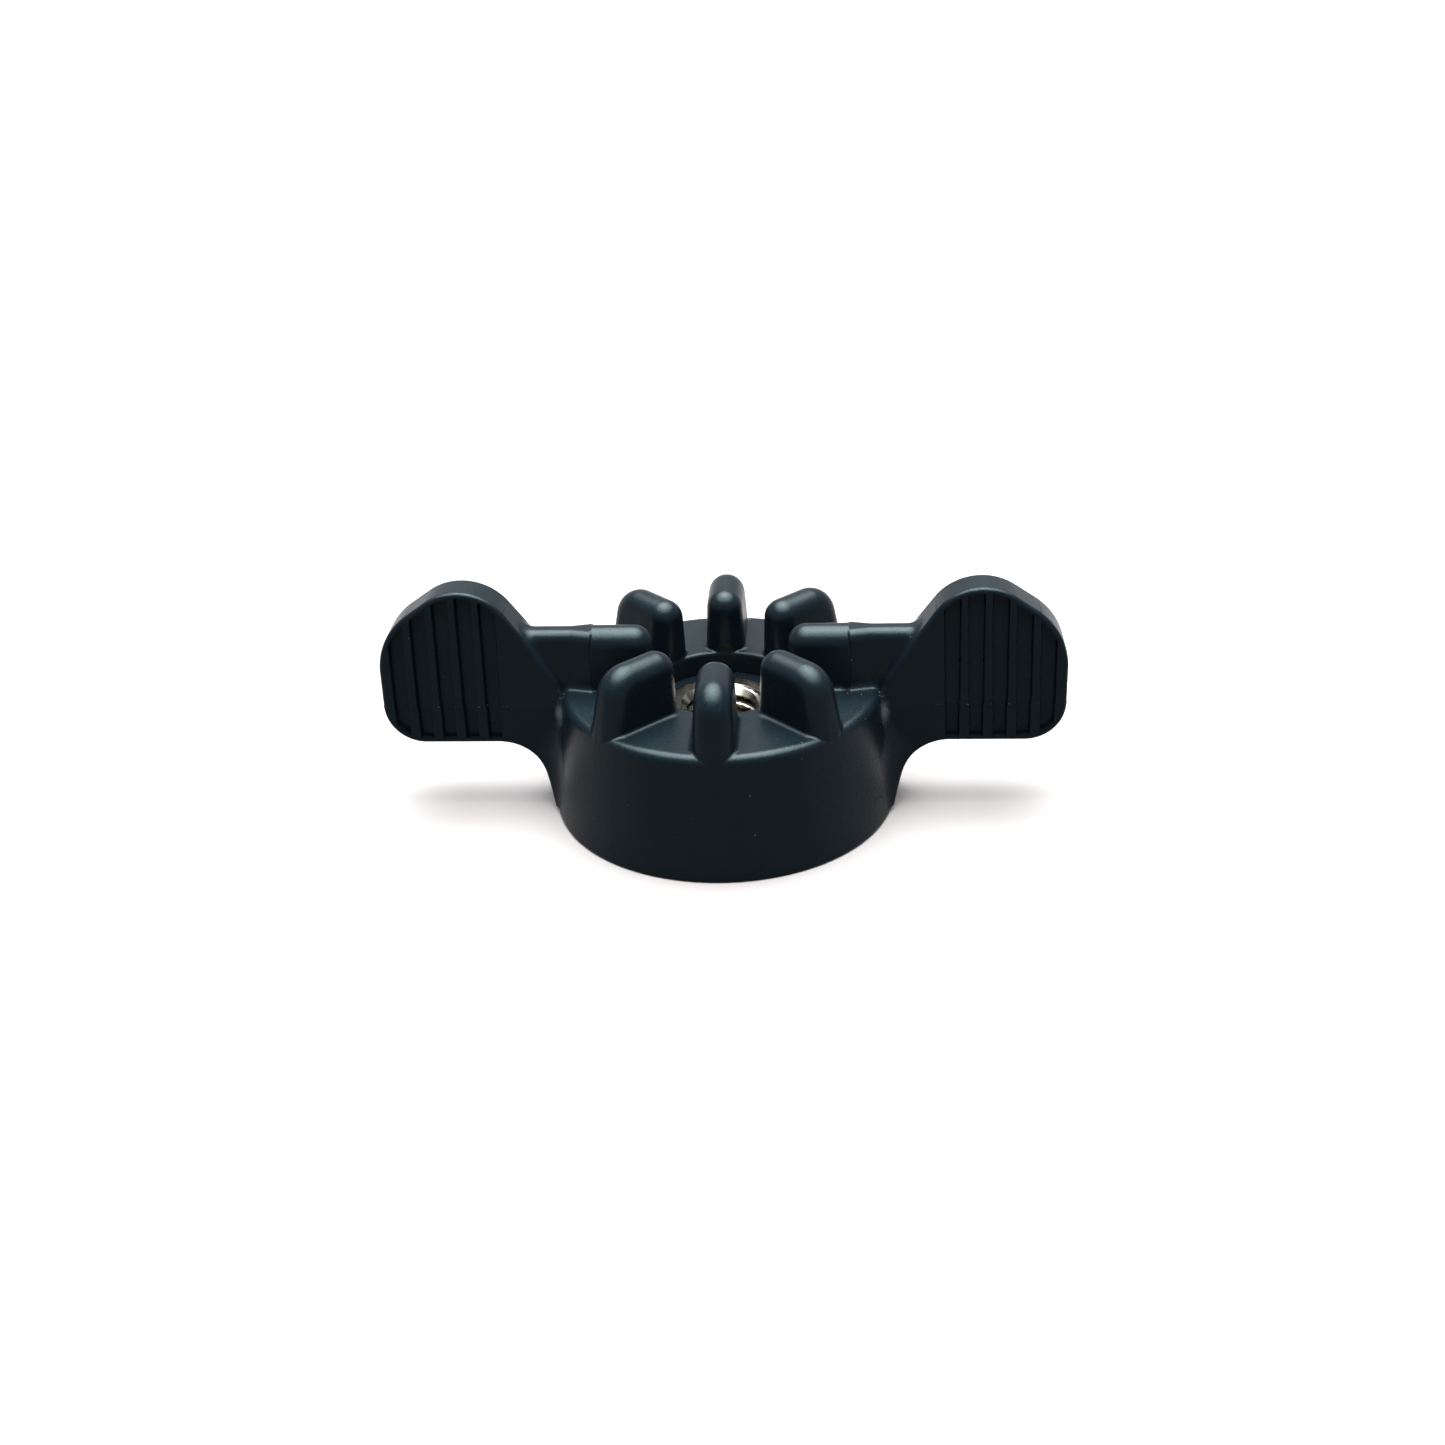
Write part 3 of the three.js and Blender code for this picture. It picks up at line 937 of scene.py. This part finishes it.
def bake(thing: bpy.types.Object) -> None:
    """Replaces an object's mesh by what its modifiers make of it, and removes them.

    Args:
        thing: The object.
    """
    graph = bpy.context.evaluated_depsgraph_get()
    made = bpy.data.meshes.new_from_object(thing.evaluated_get(graph))
    thing.modifiers.clear()
    thing.data = made


def smooth(thing: bpy.types.Object) -> None:
    """Shades every face smooth."""
    thing.data.polygons.foreach_set("use_smooth", np.ones(len(thing.data.polygons), bool))


# ---- finishes ----

SMOOTH = {"interpolation_type": "SMOOTHSTEP"}
COLOUR = {"data_type": "RGBA"}


def linear(code: str) -> tuple[float, float, float, float]:
    """Turns a colour linear.

    Args:
        code: The colour as an sRGB hex value with its # sign.

    Returns:
        Linear red, green and blue, and an alpha of 1.
    """
    parts = [int(code[i : i + 2], 16) / 255 for i in (1, 3, 5)]
    made = [p / 12.92 if p <= 0.04045 else ((p + 0.055) / 1.055) ** 2.4 for p in parts]
    return made[0], made[1], made[2], 1.0


def add_node(
    tree: bpy.types.NodeTree,
    kind: str,
    settings: dict[str, object] | None = None,
    **inputs: object,
) -> bpy.types.Node:
    """Adds a node with its settings and links.

    Args:
        tree: The material's node tree.
        kind: The node's type name after ShaderNode.
        settings: Properties of the node itself.
        **inputs: Socket values or sockets to link, by the socket's name with _ for a space, or
            by n and its number.

    Returns:
        The new node.
    """
    node = tree.nodes.new(f"ShaderNode{kind}")
    for name, value in (settings or {}).items():
        setattr(node, name, value)
    for name, value in inputs.items():
        key = int(name[1:]) if name[0] == "n" and name[1:].isdigit() else name.replace("_", " ")
        if isinstance(value, bpy.types.NodeSocket):
            tree.links.new(value, node.inputs[key])
        else:
            node.inputs[key].default_value = value
    return node


def blank(name: str) -> bpy.types.Material:
    """A new material whose node tree is empty.

    Args:
        name: The material's name.

    Returns:
        The material.
    """
    made = bpy.data.materials.new(name)
    made.use_nodes = True
    made.node_tree.nodes.clear()
    return made


@dataclass(frozen=True)
class MouldedNylon:
    """Glass-filled nylon, injection moulded and nearly black.

    It has almost no colour of its own, so the eye sees the soft gloss of its skin: bright where a
    face looks up at the light, black where it looks at another face. The skin has a fine grain
    from the mould, a slight ripple and a few specks of dust. Where each wing's faces run into the
    hub sits a pale patch, partly a scuff and partly a painted highlight on the bead there.
    """

    name: str = "moulded_nylon"
    deep: str = "#020406"
    pale: str = "#030609"
    # Colour of the pale patch at the bead, partly a scuff and partly a painted highlight.
    scuff: str = "#1d2224"
    dust: str = "#5f6a6c"
    tint: str = "#d6f4f8"
    roughness: float = 0.31
    roughness_change: Pair = (-0.04, 0.06)
    gloss: float = 0.055
    grain_mm: float = 0.22
    grain_depth_mm: float = 0.02
    grain_strength: float = 0.6
    grain_range: Pair = (0.3, 0.7)
    ripple_mm: float = 2.6
    ripple_depth_mm: float = 0.04
    ripple_strength: float = 0.5
    dust_mm: float = 1.9
    dust_edge: Pair = (0.036, 0.016)
    dust_cover: float = 0.22
    # Place, size and frayed edge of the pale patch that is partly a scuff and partly a painted
    # highlight.
    scuff_mm: tuple[float, float, float] = (15.9, 2.7, 10.4)
    scuff_reach_mm: float = 0.9
    scuff_edge: Pair = (1.3, 0.5)
    scuff_fray: float = 0.8
    scuff_stretch: float = 0.5

    def material(self) -> bpy.types.Material:
        """Builds the finish's nodes.

        Returns:
            The material.
        """
        made = blank(self.name)
        tree = made.node_tree
        place = add_node(tree, "TexCoord").outputs["Object"]
        grain = add_node(
            tree, "TexNoise", Vector=place, Scale=1 / (self.grain_mm * MM), Detail=3.0
        ).outputs["Fac"]
        ripple = add_node(
            tree, "TexNoise", Vector=place, Scale=1 / (self.ripple_mm * MM), Detail=2.0
        ).outputs["Fac"]
        cells = add_node(tree, "TexVoronoi", Vector=place, Scale=1 / (self.dust_mm * MM))
        rim, core = self.dust_edge
        dusty = add_node(
            tree, "MapRange", SMOOTH, Value=cells.outputs["Distance"], From_Min=rim,
            From_Max=core, To_Max=self.dust_cover,
        )
        tone = add_node(
            tree, "Mix", COLOUR, n0=ripple, n6=linear(self.deep), n7=linear(self.pale)
        )
        # Pale patch round the bead where each wing meets the hub: partly a scuff, partly a painted
        # highlight.
        mirrored = add_node(tree, "VectorMath", {"operation": "ABSOLUTE"}, n0=place)
        corner = tuple(v * MM for v in self.scuff_mm)
        away = add_node(
            tree, "VectorMath", {"operation": "SUBTRACT"}, n0=mirrored.outputs[0], n1=corner
        )
        stretch = (1.0, 1.0, self.scuff_stretch)
        squeezed = add_node(
            tree, "VectorMath", {"operation": "MULTIPLY"}, n0=away.outputs[0], n1=stretch
        )
        far = add_node(tree, "VectorMath", {"operation": "LENGTH"}, n0=squeezed.outputs[0])
        reach = self.scuff_reach_mm * MM
        frayed = add_node(
            tree, "Math", {"operation": "MULTIPLY_ADD"}, n0=grain, n1=self.scuff_fray * reach,
            n2=far.outputs["Value"],
        )
        rim, core = self.scuff_edge
        scuffed = add_node(
            tree, "MapRange", SMOOTH, Value=frayed.outputs["Value"], From_Min=rim * reach,
            From_Max=core * reach,
        )
        worn_and_highlit = add_node(
            tree, "Mix", COLOUR, n0=scuffed.outputs["Result"], n6=tone.outputs[2],
            n7=linear(self.scuff),
        )
        colour = add_node(
            tree, "Mix", COLOUR, n0=dusty.outputs["Result"], n6=worn_and_highlit.outputs[2],
            n7=linear(self.dust),
        )
        low, high = self.grain_range
        less, more = self.roughness_change
        dull = add_node(
            tree, "MapRange", Value=grain, From_Min=low, From_Max=high,
            To_Min=self.roughness + less, To_Max=self.roughness + more,
        )
        fine = add_node(
            tree, "Bump", Height=grain, Strength=self.grain_strength,
            Distance=self.grain_depth_mm * MM,
        )
        broad = add_node(
            tree, "Bump", Height=ripple, Strength=self.ripple_strength,
            Distance=self.ripple_depth_mm * MM, Normal=fine.outputs["Normal"],
        )
        shader = add_node(
            tree, "BsdfPrincipled", Base_Color=colour.outputs[2], IOR=1.5,
            Roughness=dull.outputs["Result"], Normal=broad.outputs["Normal"],
            Specular_IOR_Level=self.gloss, Specular_Tint=linear(self.tint),
        )
        add_node(tree, "OutputMaterial", Surface=shader.outputs["BSDF"])
        return made


@dataclass(frozen=True)
class PlatedSteel:
    """Steel, machined and nickel plated: warm silver, glossy, with a fine uneven grain."""

    name: str = "plated_steel"
    bright: str = "#87837a"
    dull: str = "#5f5b53"
    roughness: float = 0.18
    roughness_change: Pair = (-0.03, 0.05)
    grain_mm: float = 0.3
    grain_depth_mm: float = 0.01
    grain_strength: float = 0.15
    grain_range: Pair = (0.3, 0.7)

    def material(self) -> bpy.types.Material:
        """Builds the finish's nodes.

        Returns:
            The material.
        """
        made = blank(self.name)
        tree = made.node_tree
        place = add_node(tree, "TexCoord").outputs["Object"]
        grain = add_node(
            tree, "TexNoise", Vector=place, Scale=1 / (self.grain_mm * MM), Detail=4.0
        ).outputs["Fac"]
        colour = add_node(
            tree, "Mix", COLOUR, n0=grain, n6=linear(self.bright), n7=linear(self.dull)
        )
        low, high = self.grain_range
        less, more = self.roughness_change
        gloss = add_node(
            tree, "MapRange", Value=grain, From_Min=low, From_Max=high,
            To_Min=self.roughness + less, To_Max=self.roughness + more,
        )
        bump = add_node(
            tree, "Bump", Height=grain, Strength=self.grain_strength,
            Distance=self.grain_depth_mm * MM,
        )
        shader = add_node(
            tree, "BsdfPrincipled", Base_Color=colour.outputs[2], Metallic=1.0,
            Roughness=gloss.outputs["Result"], Normal=bump.outputs["Normal"],
        )
        add_node(tree, "OutputMaterial", Surface=shader.outputs["BSDF"])
        return made


@dataclass(frozen=True)
class StudioPaper:
    """Matt paper, rolled out as a floor: even and pale under the light, with a faint mottle."""

    name: str = "studio_paper"
    white: str = "#474443"
    off_white: str = "#454242"
    roughness: float = 0.9
    mottle_mm: float = 100 / 3

    def material(self) -> bpy.types.Material:
        """Builds the finish's nodes.

        Returns:
            The material.
        """
        made = blank(self.name)
        tree = made.node_tree
        place = add_node(tree, "TexCoord").outputs["Object"]
        mottle = add_node(
            tree, "TexNoise", Vector=place, Scale=1 / (self.mottle_mm * MM), Detail=2.0
        )
        colour = add_node(
            tree, "Mix", COLOUR, n0=mottle.outputs["Fac"], n6=linear(self.white),
            n7=linear(self.off_white),
        )
        shader = add_node(
            tree, "BsdfPrincipled", Base_Color=colour.outputs[2], Roughness=self.roughness
        )
        add_node(tree, "OutputMaterial", Surface=shader.outputs["BSDF"])
        return made


class Slot(Enum):
    """The record's material slots."""

    PLASTIC = "moulded_plastic"
    STEEL = "plated_steel"


# ---- studio ----


@dataclass(frozen=True)
class Glow:
    """A round patch of the surround that is brighter, fading from its core to its rim.

    Attributes:
        core: Angle from the middle, in degrees, up to which it is at its brightest.
        rim: Angle at which it has faded out.
        strength: What it adds to the surround's brightness.
    """

    core: float
    rim: float
    strength: float


@dataclass
class Studio:
    """Floor, camera and the glowing surround of the nut."""

    azimuth: float = 4.143
    elevation: float = 28.0
    distance: float = 0.18043
    roll: float = -2.2527
    focal: float = 45.17
    sensor: float = 36.0
    seen: Pair = (0.01, 20.0)
    aim_z: float = 0.008
    side: float = -0.00009
    floor_reach: float = 4.0
    surround: float = 1.25
    lean: float = 6.0
    light: tuple[float, float, float, float] = (0.96, 0.99, 1.0, 1.0)
    glows: tuple[Glow, ...] = (Glow(26.0, 44.0, 44.0), Glow(6.0, 22.0, 40.0))

    def camera(self) -> None:
        """Adds the camera, round the nut by azimuth and elevation and rolled about its gaze."""
        az, el, roll = (math.radians(v) for v in (self.azimuth, self.elevation, self.roll))
        back = Vector((math.sin(az) * math.cos(el), -math.cos(az) * math.cos(el), math.sin(el)))
        right = (-back).cross(Vector((0, 0, 1))).normalized()
        up = right.cross(-back)
        across = right * math.cos(roll) + up * math.sin(roll)
        rise = up * math.cos(roll) - right * math.sin(roll)
        data = bpy.data.cameras.new("camera")
        data.lens = self.focal
        data.sensor_width = self.sensor
        data.clip_start, data.clip_end = self.seen
        camera = bpy.data.objects.new("camera", data)
        bpy.context.scene.collection.objects.link(camera)
        target = Vector((0, 0, self.aim_z)) + across * self.side
        turn = Matrix((across, rise, back)).transposed()
        camera.matrix_world = Matrix.Translation(target + back * self.distance) @ turn.to_4x4()
        bpy.context.scene.camera = camera

    def floor(self) -> None:
        """Lays the paper floor under the nut."""
        reach = self.floor_reach / MM
        square = np.array([[-1, -1, 0], [1, -1, 0], [1, 1, 0], [-1, 1, 0]]) * reach
        floor = placed("floor", square, np.array([[0, 1, 2, 3]]))
        floor.data.materials.append(StudioPaper().material())

    def sky(self) -> None:
        """Lights everything from a pale surround with a broad soft light overhead."""
        world = bpy.data.worlds.new("surround")
        bpy.context.scene.world = world
        world.use_nodes = True
        tree = world.node_tree
        tree.nodes.clear()
        gaze = add_node(tree, "TexCoord").outputs["Generated"]
        lean = math.radians(self.lean)
        middle = (0.0, math.sin(lean), math.cos(lean))
        near = add_node(tree, "VectorMath", {"operation": "DOT_PRODUCT"}, n0=gaze, n1=middle)
        level = self.surround
        for glow in self.glows:
            rim, core = (math.cos(math.radians(angle)) for angle in (glow.rim, glow.core))
            patch = add_node(
                tree, "MapRange", SMOOTH, Value=near.outputs["Value"], From_Min=rim,
                From_Max=core, To_Max=glow.strength,
            )
            level = add_node(
                tree, "Math", {"operation": "ADD"}, n0=level, n1=patch.outputs["Result"]
            ).outputs["Value"]
        back = add_node(tree, "Background", Color=self.light, Strength=level)
        add_node(tree, "OutputWorld", Surface=back.outputs["Background"])

    def build(self) -> None:
        """Sets out the floor, the camera and the surround that lights everything."""
        self.floor()
        self.camera()
        self.sky()
        bpy.context.scene.view_settings.view_transform = "Standard"


# ---- the nut ----


@dataclass
class WingNut:
    """The whole nut: the moulding and the insert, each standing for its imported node."""

    body: MouldedBody = field(default_factory=MouldedBody)
    insert: ThreadedInsert = field(default_factory=ThreadedInsert)

    def dress(
        self, thing: bpy.types.Object, finish: MouldedNylon | PlatedSteel, node: str
    ) -> None:
        """Gives a piece its finish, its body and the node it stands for.

        Args:
            thing: The piece.
            finish: What it is made of.
            node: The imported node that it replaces.
        """
        thing.data.materials.append(finish.material())
        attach(thing, BODY)
        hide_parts(node)

    def build(self) -> None:
        """Builds and dresses both pieces."""
        self.dress(self.body.build(), MouldedNylon(), "moulded_wing_body")
        self.dress(self.insert.build(), PlatedSteel(), "threaded_insert")


def main() -> None:
    """Builds the studio and the nut."""
    logging.basicConfig(level=logging.INFO, format="%(message)s")
    Studio().build()
    nut = WingNut()
    nut.build()


if __name__ == "__main__":
    main()
